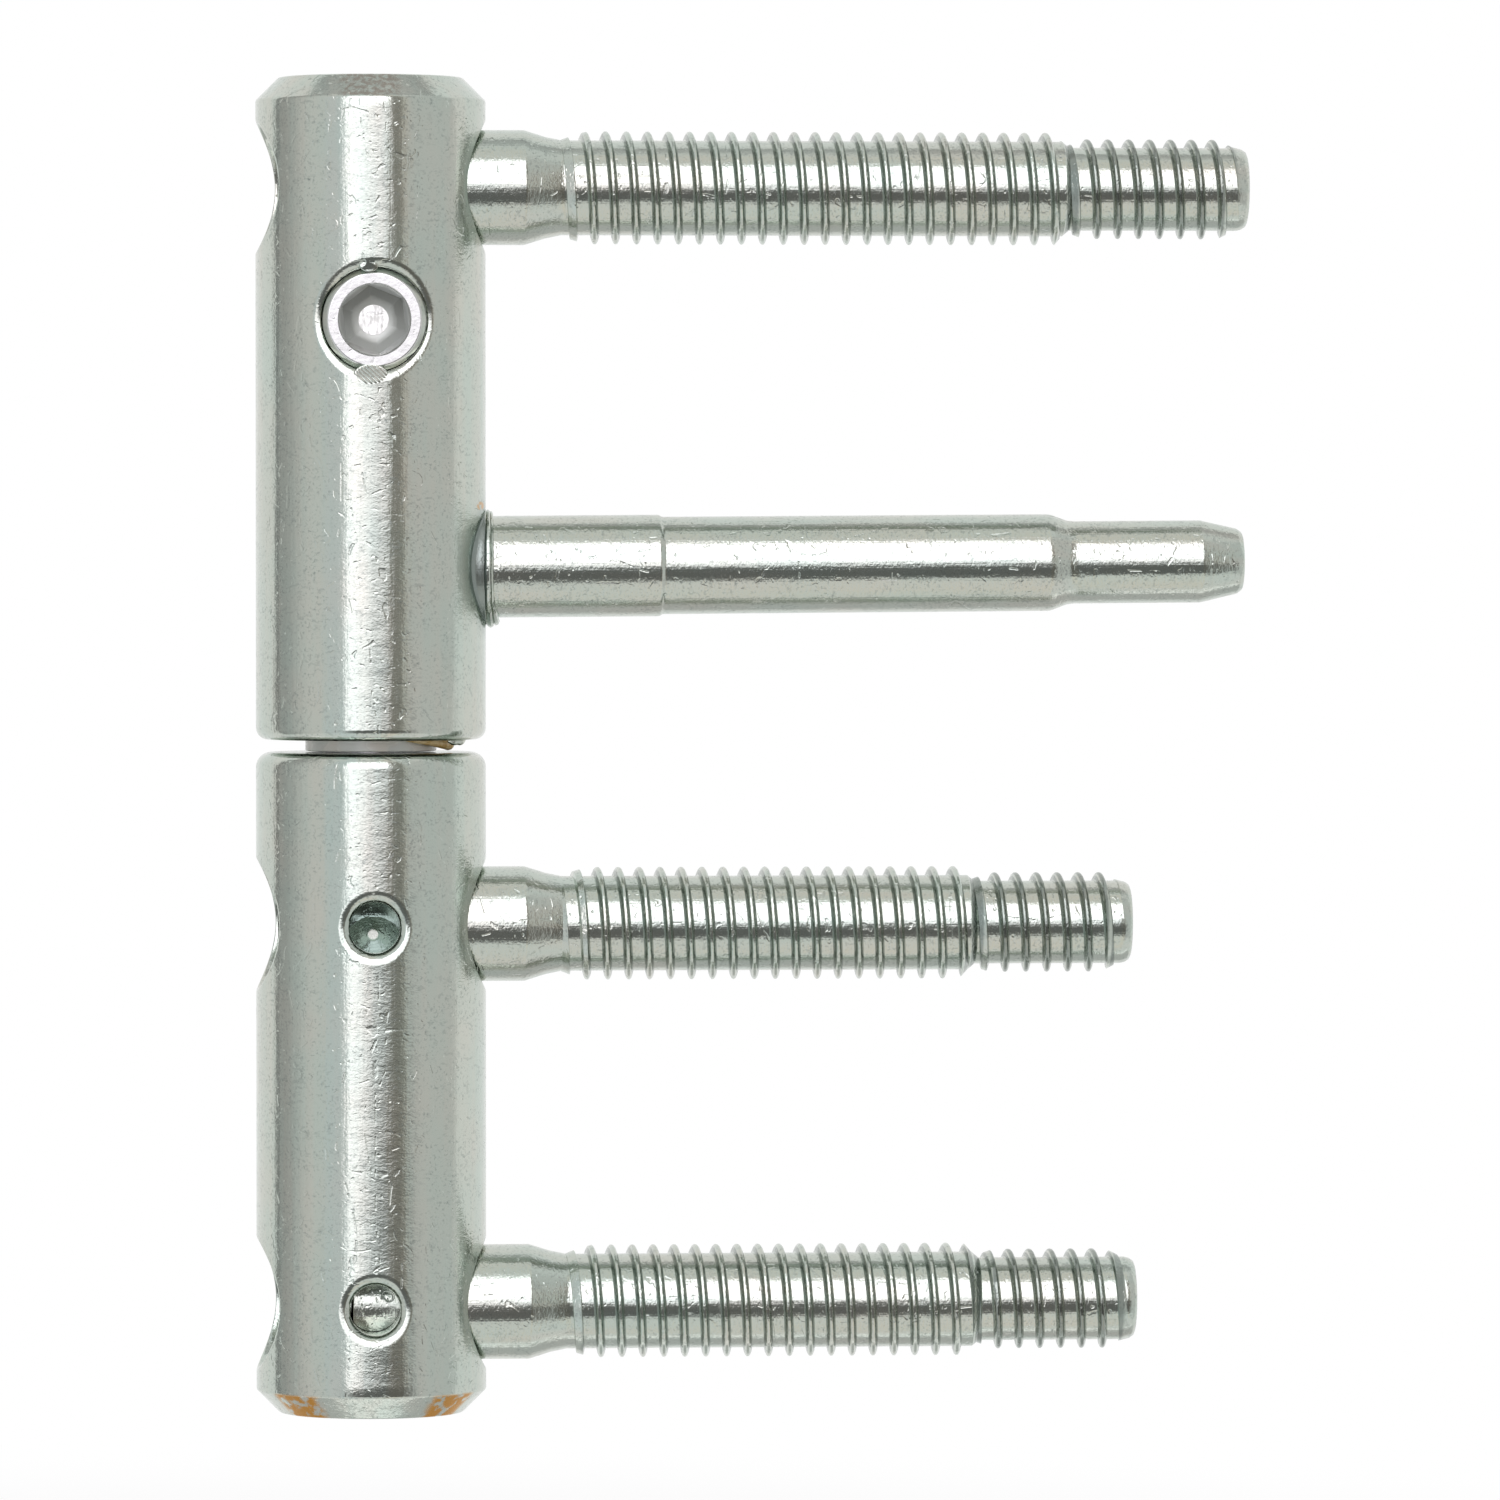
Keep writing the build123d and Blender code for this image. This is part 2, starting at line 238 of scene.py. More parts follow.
warm = azimuth.between(14, 34, 4)
cool = azimuth.between(-48, -24, 4)
colour = warm.tint((1, 1, 1, 1), (1.05, 0.98, 0.9, 1))
colour = cool.tint(colour, (0.96, 1.0, 1.04, 1))
colour = soft_box.tint(colour, (1.03, 0.99, 1.05, 1))
sees_camera = room.node("ShaderNodeLightPath", output="Is Camera Ray")
light = room.node("ShaderNodeBackground", values={"Color": colour, "Strength": level})
white = room.node("ShaderNodeBackground", values={"Color": (1, 1, 1, 1), "Strength": 1.0})
shown = room.node("ShaderNodeMixShader", values={0: sees_camera, 1: light, 2: white})
room.node("ShaderNodeOutputWorld", values={"Surface": shown})
print("studio nodes", len(studio.node_tree.nodes))

# %% [markdown]
# The floor lies under the hinge and is pale. Close to the hinge it keeps the soft shadow, and
# further out it fades into the white background, which is only for the camera's own rays.

# %% Floor
floor_height = frame_bottom - 27 * mm
floor_size = 4.0
fade_start = 0.1
fade_end = 0.26
shadow_share = 0.5

bpy.ops.object.select_all(action="DESELECT")
bpy.ops.mesh.primitive_plane_add(size=floor_size, location=(0, 0, floor_height))
floor = bpy.context.object
floor.name = "floor"
floor.visible_glossy = False
paper = bpy.data.materials.new("floor_paper")
paper.use_nodes = True
paper.node_tree.nodes.clear()
sheet = Wire(paper.node_tree)
place = sheet.node("ShaderNodeTexCoord", output="Object")
distance = sheet.node("ShaderNodeVectorMath", {"operation": "LENGTH"}, {0: place}, output="Value")
far = distance.step(fade_start, fade_end)
seen = sheet.node("ShaderNodeLightPath", output="Is Camera Ray")
lit = sheet.node("ShaderNodeBsdfDiffuse", values={"Color": (0.9, 0.9, 0.9, 1)})
blank = sheet.node("ShaderNodeEmission", values={"Color": (1, 1, 1, 1), "Strength": 1.0})
share = seen * far.towards(1 - shadow_share, 1.0)
sheet.node(
    "ShaderNodeOutputMaterial",
    values={"Surface": sheet.node("ShaderNodeMixShader", values={0: share, 1: lit, 2: blank})},
)
floor.data.materials.append(paper)
print("floor at", round(floor_height / mm, 1), "mm")

# %% [markdown]
# Turned pieces start as a disc. Each step along the axis is an extrusion, resized to the
# radius that the piece has there, which is how a bar looks as a lathe tool moves along it.

# %% Helpers for turned pieces
axes = {"X": Vector((1, 0, 0)), "Y": Vector((0, 1, 0)), "Z": Vector((0, 0, 1))}
turns = {"X": (0, math.pi / 2, 0), "Y": (math.pi / 2, 0, 0), "Z": (0, 0, 0)}
smooth_angle = math.radians(32)
merge_reach = 0.001 * mm
cut_accuracy = 1e-7


def edit(piece, mode="FACE"):
    """Opens a piece in edit mode with nothing selected."""
    bpy.ops.object.select_all(action="DESELECT")
    bpy.context.view_layer.objects.active = piece
    piece.select_set(True)
    bpy.ops.object.mode_set(mode="EDIT")
    bpy.ops.mesh.select_mode(type=mode)
    bpy.ops.mesh.select_all(action="DESELECT")


def close_edit():
    """Turns all faces outwards and leaves edit mode."""
    bpy.ops.mesh.select_all(action="SELECT")
    bpy.ops.mesh.normals_make_consistent(inside=False)
    bpy.ops.object.mode_set(mode="OBJECT")


def lathe(name, centre, axis, stations, sides=128, hollow=False):
    """A turned piece: a disc or ring that is extruded from one (place, radius) to the next."""
    along = axes[axis]
    across = Vector((1, 1, 1)) - along
    place, radius = stations[0]
    bpy.ops.object.select_all(action="DESELECT")
    bpy.ops.mesh.primitive_circle_add(
        vertices=sides,
        radius=radius,
        fill_type="NOTHING" if hollow else "NGON",
        location=Vector(centre) + along * place,
        rotation=turns[axis],
    )
    piece = bpy.context.object
    piece.name = name
    bpy.ops.object.transform_apply(location=True, rotation=True, scale=True)
    edit(piece, "EDGE" if hollow else "FACE")
    bpy.ops.mesh.select_all(action="SELECT")
    for next_place, next_radius in stations[1:]:
        move = along * (next_place - place)
        bpy.ops.mesh.extrude_region_move(TRANSFORM_OT_translate={"value": move})
        bpy.ops.transform.resize(
            value=along + across * (next_radius / radius),
            center_override=Vector(centre) + along * next_place,
        )
        place, radius = next_place, next_radius
    if hollow:
        bpy.ops.mesh.select_all(action="SELECT")
        bpy.ops.mesh.remove_doubles(threshold=merge_reach)
    close_edit()
    return piece


def cut_off(place, keep):
    """Cuts all that is selected by a plane, keeps the side that keep points to, and closes it."""
    sides = {"use_fill": True, "clear_inner": True}
    bpy.ops.mesh.bisect(plane_co=place, plane_no=keep, threshold=cut_accuracy, **sides)


def apply(piece, modifier):
    """Applies a modifier as the button in its header does."""
    bpy.context.view_layer.objects.active = piece
    bpy.ops.object.modifier_apply(modifier=modifier.name)


def soften(piece, width, segments=2, angle=18):
    """Takes the sharpness off every edge that turns by more than this angle."""
    bevel = piece.modifiers.new("soften", "BEVEL")
    bevel.limit_method = "ANGLE"
    bevel.angle_limit = math.radians(angle)
    bevel.width = width
    bevel.segments = segments
    apply(piece, bevel)


def combine(piece, tool, operation):
    """Cuts with, adds or keeps the common part with another closed piece, which is used up."""
    boolean = piece.modifiers.new("combine", "BOOLEAN")
    boolean.operation = operation
    boolean.solver = "MANIFOLD"
    boolean.object = tool
    apply(piece, boolean)
    bpy.data.objects.remove(tool)


def raise_to(piece, height):
    """Lifts a piece that was made on the X axis to its own height."""
    piece.location.z = height
    bpy.ops.object.select_all(action="DESELECT")
    bpy.context.view_layer.objects.active = piece
    piece.select_set(True)
    bpy.ops.object.transform_apply(location=True, rotation=True, scale=True)


def finish_piece(piece, body, slot, material, *nodes):
    """Smooths a piece, gives it its finish, ties it to its body and hides the solids that it stands for.
    """
    bpy.ops.object.select_all(action="DESELECT")
    bpy.context.view_layer.objects.active = piece
    piece.select_set(True)
    bpy.ops.object.shade_smooth_by_angle(angle=smooth_angle)
    weighted = piece.modifiers.new("weighted", "WEIGHTED_NORMAL")
    weighted.keep_sharp = True
    apply(piece, weighted)
    piece.data.materials.clear()
    piece.data.materials.append(material)
    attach(piece, body)
    if nodes:
        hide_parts(*nodes)
    piece.data.calc_loop_triangles()
    print(piece.name, len(piece.data.loop_triangles), "triangles")


print("helpers ready")

# %% [markdown]
# The plating is bright zinc over drawn or turned steel. Up close it is smooth, with a fine
# orange peel, small dents and short scratches, which break up the edges of what it mirrors.
# Heights are added up in micrometres and go to one Bump node. The plating also leans a
# little to green in some places and to brown in others.

# %% Zinc plating
micrometre = 0.001 * mm
zinc_green = (0.52, 0.585, 0.53, 1)
zinc_brown = (0.575, 0.58, 0.52, 1)
zinc_dark = (0.24, 0.28, 0.265, 1)
bend_scale = 700.0
bend_reach = 1.6 * mm
scratch_ways = ((2.6, (1.0, 0.3, 0.35)), (2.0, (0.3, 1.0, 0.8)))


def start_finish(name):
    """An empty material, and the wire that its finish begins with."""
    material = bpy.data.materials.new(name)
    material.use_nodes = True
    material.node_tree.nodes.clear()
    return material, Wire(material.node_tree)


def end_finish(start, colour, roughness, height, metallic=1.0, gloss=0.5):
    """The last nodes of a finish: its bump, its shader and its output."""
    rise = {"Height": height, "Distance": micrometre, "Strength": 1.0}
    bump = start.node("ShaderNodeBump", values=rise)
    values = {"Base Color": colour, "Roughness": roughness, "Normal": bump}
    values |= {"Metallic": metallic, "Specular IOR Level": gloss}
    shader = start.node("ShaderNodeBsdfPrincipled", values=values)
    start.node("ShaderNodeOutputMaterial", values={"Surface": shader})


def zinc(name, grain, peel=13.0, dents=1.0, lines=2.0, marks=None):
    """Bright zinc plate. grain scales the coordinates, so it is low along the drawn lines."""
    material, start = start_finish(name)
    place = start.node("ShaderNodeTexCoord", output="Object")
    grained = place.stretched(grain)
    cross = tuple(1.8 if part < 1 else 1 for part in grain)
    short = place.stretched(cross)

    # Heights in micrometres, from the orange peel to the slow waves of the bar
    peel_height = short.noise(0.42 * mm, 2.0, 0.6) * peel
    fine_height = place.noise(0.15 * mm, 2.0) * (3.4 * dents)
    line_height = grained.noise(0.16 * mm, 1.0) * lines + grained.noise(0.7 * mm, 2.0) * 16
    wave_height = short.noise(2.6 * mm, 1.0) * 22

    # Dents lie at scattered points, and scratches where a noise passes its middle
    coarse = {"Vector": place, "Scale": bend_scale}
    bend = place.node("ShaderNodeTexNoise", values=coarse, output="Color")
    bending = {0: bend, 1: (bend_reach, bend_reach, bend_reach), 2: place}
    bent = place.node("ShaderNodeVectorMath", {"operation": "MULTIPLY_ADD"}, bending)
    dent_at = bent.stretched(cross).spots(1.15 * mm)
    dent = (1 - dent_at.step(0.02, 0.2)) * place.noise(3.1 * mm).step(0.38, 0.56)
    scratch = 0
    for size, way in scratch_ways:
        crossing = place.math("ABSOLUTE", place.stretched(way).noise(size * mm, 0.0) - 0.5)
        kept = place.noise(0.4 * size * mm, 1.0).step(0.56, 0.62)
        scratch = scratch + (1 - crossing.step(0.006, 0.022)) * kept
    height = peel_height + fine_height + line_height + wave_height
    height = height - dent * (26 * dents) - scratch * (15 * dents)

    # Colour and roughness, with dark specks and scuffs
    tone = grained.noise(1.6 * mm, 2.0).step(0.35, 0.7) * 0.55
    tone = tone + place.noise(7 * mm).step(0.35, 0.7) * 0.45
    colour = tone.tint(zinc_green, zinc_brown)
    speck = place.noise(0.24 * mm, 2.0).step(0.52, 0.75) * place.noise(2.2 * mm).step(0.3, 0.6)
    scuff = short.noise(0.6 * mm, 3.0).step(0.54, 0.7) * place.noise(1.9 * mm).step(0.38, 0.6)
    colour = (speck * 0.5 + scuff * 0.3).tint(colour, zinc_dark)
    roughness = 0.085 + 0.06 * place.noise(0.9 * mm) + 0.05 * grained.noise(0.3 * mm)
    roughness = roughness + 0.12 * speck + 0.1 * scuff + 0.05 * scratch
    if marks:
        colour, roughness, height = marks(place, colour, roughness, height)
    end_finish(start, colour, roughness, height)
    print(name, len(material.node_tree.nodes), "nodes")
    return material


stake_spot = (-0.35, -4.72)
orange = (0.55, 0.27, 0.05, 1)
brown = (0.30, 0.25, 0.21, 1)
# painted shade for the barrel round the weld
weld_painted_shade = (0.24, 0.30, 0.27, 1)
# painted shade in the drilled dimple
dimple_painted_shade = (0.16, 0.22, 0.195, 1)
# painted highlight at the dimple's tip
tip_painted_highlight = (0.9, 0.9, 0.88, 1)
# painted shade on the threads' flanks
flank_painted_shade = (0.13, 0.16, 0.145, 1)
hatch_pitch = 0.42 * mm


def barrel_marks(place, colour, roughness, height):
    """Stains, a broken seam line, the hatched punch mark and painted shade round the weld."""
    across, depth, up = place.axis("X"), place.axis("Y"), place.axis("Z")
    turn = place.math("ARCTAN2", across, 0 - depth) * degrees
    aside = place.math("ABSOLUTE", turn)
    blotch = place.noise(0.9 * mm, 3.0).step(0.36, 0.52)

    # Orange stains on the lower chamfer, and a dull patch on the upper one
    foot = 1 - up.step(frame_bottom + 1.85 * mm, frame_bottom + 2.15 * mm)
    rust = foot * aside.between(31, 59, 4) * blotch
    colour = rust.tint(colour, orange)
    crown = up.step(leaf_top - 2.1 * mm, leaf_top - 1.8 * mm) * (1 - depth.step(-2 * mm, 0))
    dull = crown * across.between(-2.9 * mm, 2.2 * mm, 0.5 * mm)
    dull = dull * place.noise(0.5 * mm, 2.0).step(0.35, 0.6)
    colour = (dull * 0.7).tint(colour, brown)

    # The broken seam line, and the hatch that the punch left on its lower mark
    seam = across.between(-0.06 * mm, 0.05 * mm, 0.03 * mm)
    seam = seam * up.between(frame_bottom + 2 * mm, -20 * mm, mm)
    dashes = place.stretched((0.2, 0.2, 1.0)).noise(1.3 * mm).step(0.5, 0.6)
    height = height - seam * dashes * 14
    beside = across - stake_spot[0] * mm
    below = up - (screw_height + stake_spot[1] * mm)
    inside = 1 - (beside * beside * 0.35 + below * below).step(0.4e-6, 0.75e-6)
    hatch = place.math("SINE", (across + below * 1.1) * (2 * math.pi / hatch_pitch))
    inside = inside * (1 - depth.step(-9.8 * mm, -9.6 * mm))
    height = height + inside * hatch * 30
    colour = (inside * hatch.step(0.3, 0.9) * 0.55).tint(colour, brown)

    # Painted shade on the barrel round the weld, and a small orange spot above it
    beyond = up - guide_height
    reach = place.math("SQRT", depth * depth + beyond * beyond)
    weld_shadow_mask = (1 - reach.step(5.1 * mm, 7.2 * mm)) * across.step(5 * mm, 7 * mm)
    colour = (weld_shadow_mask * 0.75).tint(colour, weld_painted_shade)
    aside, above = across - 9.4 * mm, up - (guide_height + 5.3 * mm)
    spot = 1 - (aside * aside + above * above).step(0.04e-6, 0.2e-6)
    colour = (spot * blotch * 0.8).tint(colour, orange)
    return colour, roughness + rust * 0.2 + dull * 0.12, height


def pin_marks(place, colour, roughness, height):
    """Painted shade in the dimple with a painted highlight at its tip, painted shade on the threads'
    flanks and a dull weld.
    """
    across, depth = place.axis("X"), place.axis("Y")

    # Painted shade in the drilled dimple, and a painted highlight at its tip
    above = place.axis("Z") - upper_pin_height
    reach = place.math("SQRT", across * across + above * above)
    drilled = (1 - reach.step(2.4 * mm, 2.6 * mm)) * (1 - depth.step(-4.4 * mm, -3.8 * mm))
    colour = (drilled * 0.9).tint(colour, dimple_painted_shade)
    lower_tip = above + 0.72 * mm
    tip = 1 - place.math("SQRT", across * across + lower_tip * lower_tip).step(0.36 * mm, 0.5 * mm)
    colour = (drilled * tip).tint(colour, tip_painted_highlight)

    # Painted shade on the threads' flanks, found by their distance from the nearest threaded pin's axis
    nearest = 100 * mm
    for pin_height in (leaf_pin_height, upper_pin_height, lower_pin_height):
        beyond = place.axis("Z") - pin_height
        nearest = place.math("MINIMUM", place.math("SQRT", depth * depth + beyond * beyond), nearest)
    thick = nearest.between(4.22 * mm, 4.66 * mm, 0.06 * mm)
    thin = nearest.between(3.7 * mm, 4.05 * mm, 0.05 * mm)
    flank = (thick + thin) * across.step(18 * mm, 18.5 * mm)
    colour = (flank * 0.6).tint(colour, flank_painted_shade)

    # The weld's collar, which is duller where it lies on the barrel
    beyond = place.axis("Z") - guide_height
    weld_reach = place.math("SQRT", depth * depth + beyond * beyond)
    collar = weld_reach.between(4.6 * mm, 5.6 * mm, 0.05 * mm)
    collar = collar * (1 - across.step(9.75 * mm, 9.95 * mm))
    colour = (collar * 0.85).tint(colour, zinc_dark)
    roughness = roughness + collar * 0.2
    return colour, drilled.towards(roughness, 0.15) + drilled * tip * 0.3, height


along_z = (1.0, 1.0, 0.04)
along_x = (0.04, 1.0, 1.0)
barrel_zinc = zinc("barrel_zinc", along_z, marks=barrel_marks)
pin_zinc = zinc("pin_zinc", along_x, peel=22.0, dents=1.3, lines=7.0, marks=pin_marks)

# %% [markdown]
# A barrel is turned from its rows of (height, radius). The rows stand close together where
# a hole will be, because a hole's mouth needs small faces round it to follow the barrel.

# %% Barrels before their holes
barrel_sides = 192
row_height = 0.34 * mm
end_chamfer = 2.0 * mm
bore_reach = 6.5 * mm


def rows(start, end):
    """Heights from start to end, about one row apart."""
    count = round(abs(end - start) / row_height)
    return [start + (end - start) * step / count for step in range(count + 1)]


def rounded(edge, inward, radius):
    """The rows of a rim rounded by this radius, from the end face to the barrel's wall."""
    steps = 7
    arc = []
    for step in range(steps + 1):
        turn = math.pi / 2 * step / steps
        height = edge + inward * radius * (1 - math.cos(turn))
        arc.append((height, barrel_radius - radius * (1 - math.sin(turn))))
    return arc


frame_round = 1.3 * mm
leaf_round = 1.0 * mm
pin_bore = high("hinge_pin").x
bush_radius = high("pivot_bush").x
leaf_bore = bush_radius + 0.05 * mm
mouth = 0.4 * mm
frame_rows = [(low("hinge_pin").z, pin_bore), (0, pin_bore)] + rounded(0, -1, frame_round)
for centre in (upper_pin_height, lower_pin_height):
    frame_rows += [(z, barrel_radius) for z in rows(centre + bore_reach, centre - bore_reach)]
frame_rows += [(frame_bottom + end_chamfer, barrel_radius), (frame_bottom, barrel_radius - end_chamfer)]
frame_barrel = lathe("frame_barrel_fine", (0, 0, 0), "Z", frame_rows, barrel_sides)

leaf_bore_web = 6.8 * mm
bore_top = leaf_pin_height - leaf_bore_web
leaf_rows = [(bore_top, leaf_bore), (leaf_bottom + mouth, leaf_bore), (leaf_bottom, leaf_bore + mouth)]
leaf_rows += rounded(leaf_bottom, 1, leaf_round)
leaf_rows += [(z, barrel_radius) for z in rows(screw_height - bore_reach, leaf_pin_height + bore_reach)]
leaf_rows += [(leaf_top - end_chamfer, barrel_radius), (leaf_top, barrel_radius - end_chamfer)]
leaf_barrel = lathe("leaf_barrel_fine", (0, 0, 0), "Z", leaf_rows, barrel_sides)
for barrel in (frame_barrel, leaf_barrel):
    soften(barrel, 0.14 * mm, 2, 30)
    print(barrel.name, len(barrel.data.polygons), "faces")

# %% [markdown]
# A hole's mouth is made before the hole. The faces inside its circle are dissolved into one,
# the corners of that face are laid on a true circle on the barrel's skin, and the face is
# extruded inwards ring by ring. The rim then follows the barrel like a saddle, with an even
# rounding, which a plain cut would leave sharp.

# %% Mouths of the holes
facing_side = 0.7 * barrel_radius


def ring(piece, outward, height, radius, depth, flat=False):
    """Lays the selected ring on a circle round a hole's axis, this deep under the skin."""
    side = Vector((0, 0, 1)).cross(outward)
    mesh = bmesh.from_edit_mesh(piece.data)
    for corner in (vertex for vertex in mesh.verts if vertex.select):
        spoke = Vector((corner.co.dot(side), corner.co.z - height)).normalized() * radius
        skin = barrel_radius if flat else math.sqrt(barrel_radius**2 - spoke.x**2)
        corner.co = side * spoke.x + outward * (skin - depth) + Vector((0, 0, height + spoke.y))
    bmesh.update_edit_mesh(piece.data)


def hole_mouth(piece, outward, height, reach, stations, floor):
    """Sinks a round mouth into a barrel: rings of (radius, depth), then a flat floor."""
    outward = Vector(outward)
    side = Vector((0, 0, 1)).cross(outward)
    edit(piece)
    mesh = bmesh.from_edit_mesh(piece.data)
    for face in mesh.faces:
        centre = face.calc_center_median()
        inside = Vector((centre.dot(side), centre.z - height)).length < reach
        face.select_set(inside and centre.dot(outward) > facing_side)
    bmesh.update_edit_mesh(piece.data)
    bpy.ops.mesh.dissolve_faces()
    ring(piece, outward, height, reach - row_height, 0)
    for radius, depth in stations:
        bpy.ops.mesh.extrude_region_move()
        ring(piece, outward, height, radius, depth)
    bpy.ops.mesh.extrude_region_move()
    ring(piece, outward, height, stations[-1][0], floor, flat=True)
    close_edit()
    print(piece.name, "mouth at", round(height / mm, 1), "mm")


def rim(radius, rounding, steps=4):
    """Rings of a rounded rim, from the skin into the hole."""
    rings = []
    for step in range(steps + 1):
        turn = math.pi / 2 * step / steps
        rings.append((radius + rounding * (1 - math.sin(turn)), rounding * (1 - math.cos(turn))))
    return rings


left, front, right_way = (-1, 0, 0), (0, -1, 0), (1, 0, 0)
cross_bore = pin_head_radius + 0.08 * mm
lock_bore = 2.2 * mm
screw_bore = high("height_screw").x + 0.08 * mm
bore_rim = rim(cross_bore, 0.28 * mm)
lock_rim = [(2.95 * mm, 0), (2.66 * mm, 0.14 * mm), (2.56 * mm, 0.2 * mm), (2.3 * mm, 0.46 * mm)]
lock_rim += [(lock_bore, 0.75 * mm)]
screw_rim = [(5.2 * mm, 0), (4.8 * mm, 0.18 * mm), (4.68 * mm, 0.26 * mm), (screw_bore, 0.5 * mm)]
bore_mouth_reach = bore_reach - row_height / 2
lock_mouth_reach = 3.6 * mm
screw_mouth_reach = 5.75 * mm
bore_mouth_floor = 2.3 * mm
lock_mouth_floor = 1.6 * mm
screw_mouth_floor = 2.0 * mm
for height in (upper_pin_height, lower_pin_height):
    for way in (left, right_way):
        hole_mouth(frame_barrel, way, height, bore_mouth_reach, bore_rim, bore_mouth_floor)
    hole_mouth(frame_barrel, front, height, lock_mouth_reach, lock_rim, lock_mouth_floor)
for way in (left, right_way):
    hole_mouth(leaf_barrel, way, leaf_pin_height, bore_mouth_reach, bore_rim, bore_mouth_floor)
hole_mouth(leaf_barrel, front, screw_height, screw_mouth_reach, screw_rim, screw_mouth_floor)

# %% [markdown]
# The mouths end in flat floors. Plain cylinders now cut from floor to floor, so the cuts
# never touch the fine rims.

# %% Holes cut through
hair = 0.01 * mm
dowel = middle("leaf_dowel")
dowel_radius = high("leaf_dowel").z - dowel.z + hair
bore_end = barrel_radius - 1.9 * mm
lock_start = 1.2 * mm - barrel_radius
screw_start = 1.7 * mm - barrel_radius


def bore(piece, centre, axis, radius, start, end):
    """Cuts a plain round hole."""
    combine(piece, lathe("tool", centre, axis, [(start, radius), (end, radius)], 96), "DIFFERENCE")


for height in (upper_pin_height, lower_pin_height):
    bore(frame_barrel, (0, 0, height), "X", cross_bore - hair, -bore_end, bore_end)
    bore(frame_barrel, (0, 0, height), "Y", lock_bore - hair, lock_start, 0)
bore(leaf_barrel, (0, 0, leaf_pin_height), "X", cross_bore - hair, -bore_end, bore_end)
bore(leaf_barrel, (0, 0, screw_height), "Y", screw_bore - hair, screw_start, 0)
dowel_holes = [("leaf_dowel", leaf_barrel)]
dowel_holes += [("frame_dowel_upper", frame_barrel), ("frame_dowel_lower", frame_barrel)]
for node, barrel in dowel_holes:
    spot = middle(node)
    bore(barrel, (spot.x, 0, spot.z), "Y", dowel_radius, low(node).y, barrel_radius)

# %% [markdown]
# Two punch marks keep the height screw in its hole. The punch pushed a flat lip of the
# barrel's metal over the screw's edge, below and above it.

# %% Stake marks
stake_rows = [(-9.25, 0.9), (-9.55, 1.0), (-9.72, 1.0), (-9.83, 0.94), (-9.87, 0.82)]
stakes = ((*stake_spot, 1.5, 0.85), (-0.5, 4.6, 0.85, 0.5))
for across, above, half_width, half_height in stakes:
    rows_here = [(place * mm, radius * mm) for place, radius in stake_rows]
    lip = lathe("lip", (0, 0, 0), "Y", rows_here, 48)
    lip.scale = (half_width, 1, half_height)
    lip.location.x = across * mm
    raise_to(lip, screw_height + above * mm)
    combine(leaf_barrel, lip, "UNION")
finish_piece(frame_barrel, "frame", "barrel_zinc", barrel_zinc, "frame_barrel")
finish_piece(leaf_barrel, "leaf", "barrel_zinc", barrel_zinc, "leaf_barrel")

# %% [markdown]
# The thread is rolled: narrow rounded ridges with flat ground between them. One pitch of
# its outline is drawn by extruding a single point, and a Screw modifier sweeps it round and
# along the pin. A turned envelope then lets the first ridges rise out of the neck.

# %% Threads
pitch = 1.833 * mm
ridge_half_width = 0.42 * mm
ridge_fullness = 2.6
ridge_steps = 8
thread_sides = 72


def ridge_outline(core, crest):
    """Points of (distance, radius) over one pitch, with the ridge in the middle."""
    points = [(-pitch / 2, core)]
    for step in range(ridge_steps + 1):
        aside = 2 * step / ridge_steps - 1
        radius = core + (crest - core) * (1 - abs(aside) ** ridge_fullness)
        points.append((aside * ridge_half_width, radius))
    return points + [(pitch / 2, core)]


def thread(start, end, core, crest, first_crest):
    """A closed threaded rod along X, with a ridge on top at first_crest."""
    back_turns = math.ceil((first_crest - start) / pitch) + 1
    turns_needed = math.ceil((end - start) / pitch) + 3
    outline = ridge_outline(core, crest)
    origin = first_crest - back_turns * pitch
    bpy.ops.object.select_all(action="DESELECT")
    bpy.ops.mesh.primitive_plane_add(size=mm, location=(0, 0, 0))
    rod = bpy.context.object
    edit(rod, "VERT")
    bpy.ops.mesh.select_all(action="SELECT")
    bpy.ops.mesh.merge(type="CENTER")
    bpy.ops.transform.translate(value=(origin + outline[0][0], 0, outline[0][1]))
    for before, after in zip(outline, outline[1:]):
        move = (after[0] - before[0], 0, after[1] - before[1])
        bpy.ops.mesh.extrude_region_move(TRANSFORM_OT_translate={"value": move})
    bpy.ops.object.mode_set(mode="OBJECT")
    screw = rod.modifiers.new("screw", "SCREW")
    screw.axis = "X"
    screw.angle = 2 * math.pi
    screw.screw_offset = pitch
    screw.iterations = turns_needed
    screw.steps = screw.render_steps = thread_sides
    apply(rod, screw)
    edit(rod, "VERT")
    bpy.ops.mesh.select_all(action="SELECT")
    bpy.ops.mesh.remove_doubles(threshold=2 * merge_reach)
    for cut, way in ((start, 1), (end, -1)):
        bpy.ops.mesh.select_all(action="SELECT")
        cut_off((cut, 0, 0), (way, 0, 0))
    close_edit()
    return rod


print("thread pitch", round(pitch / mm, 3), "mm")

# %% [markdown]
# Each threaded pin is one rod: a keyed head with a groove for its dowel, a collar, a neck,
# then a thick and a thin thread. The two frame pins are the same, so one is modelled and
# the other is its copy, turned in its hole and 0.4 mm further out, as they are in the photo.

# %% Threaded pins
head_start = low("leaf_screw_pin").x
leaf_tip = high("leaf_screw_pin").x
frame_tip = high("frame_pin_lower").x
key_width = 6.0 * mm
key_depth = 5.0 * mm
leaf_step = 60.2 * mm
frame_step = 51.9 * mm
frame_pin_shift = 0.4 * mm
lower_pin_turn = 195.4
thick_core, thick_crest = 4.13 * mm, 4.92 * mm
thin_core, thin_crest = 3.62 * mm, 4.36 * mm
thread_start = 15.5 * mm


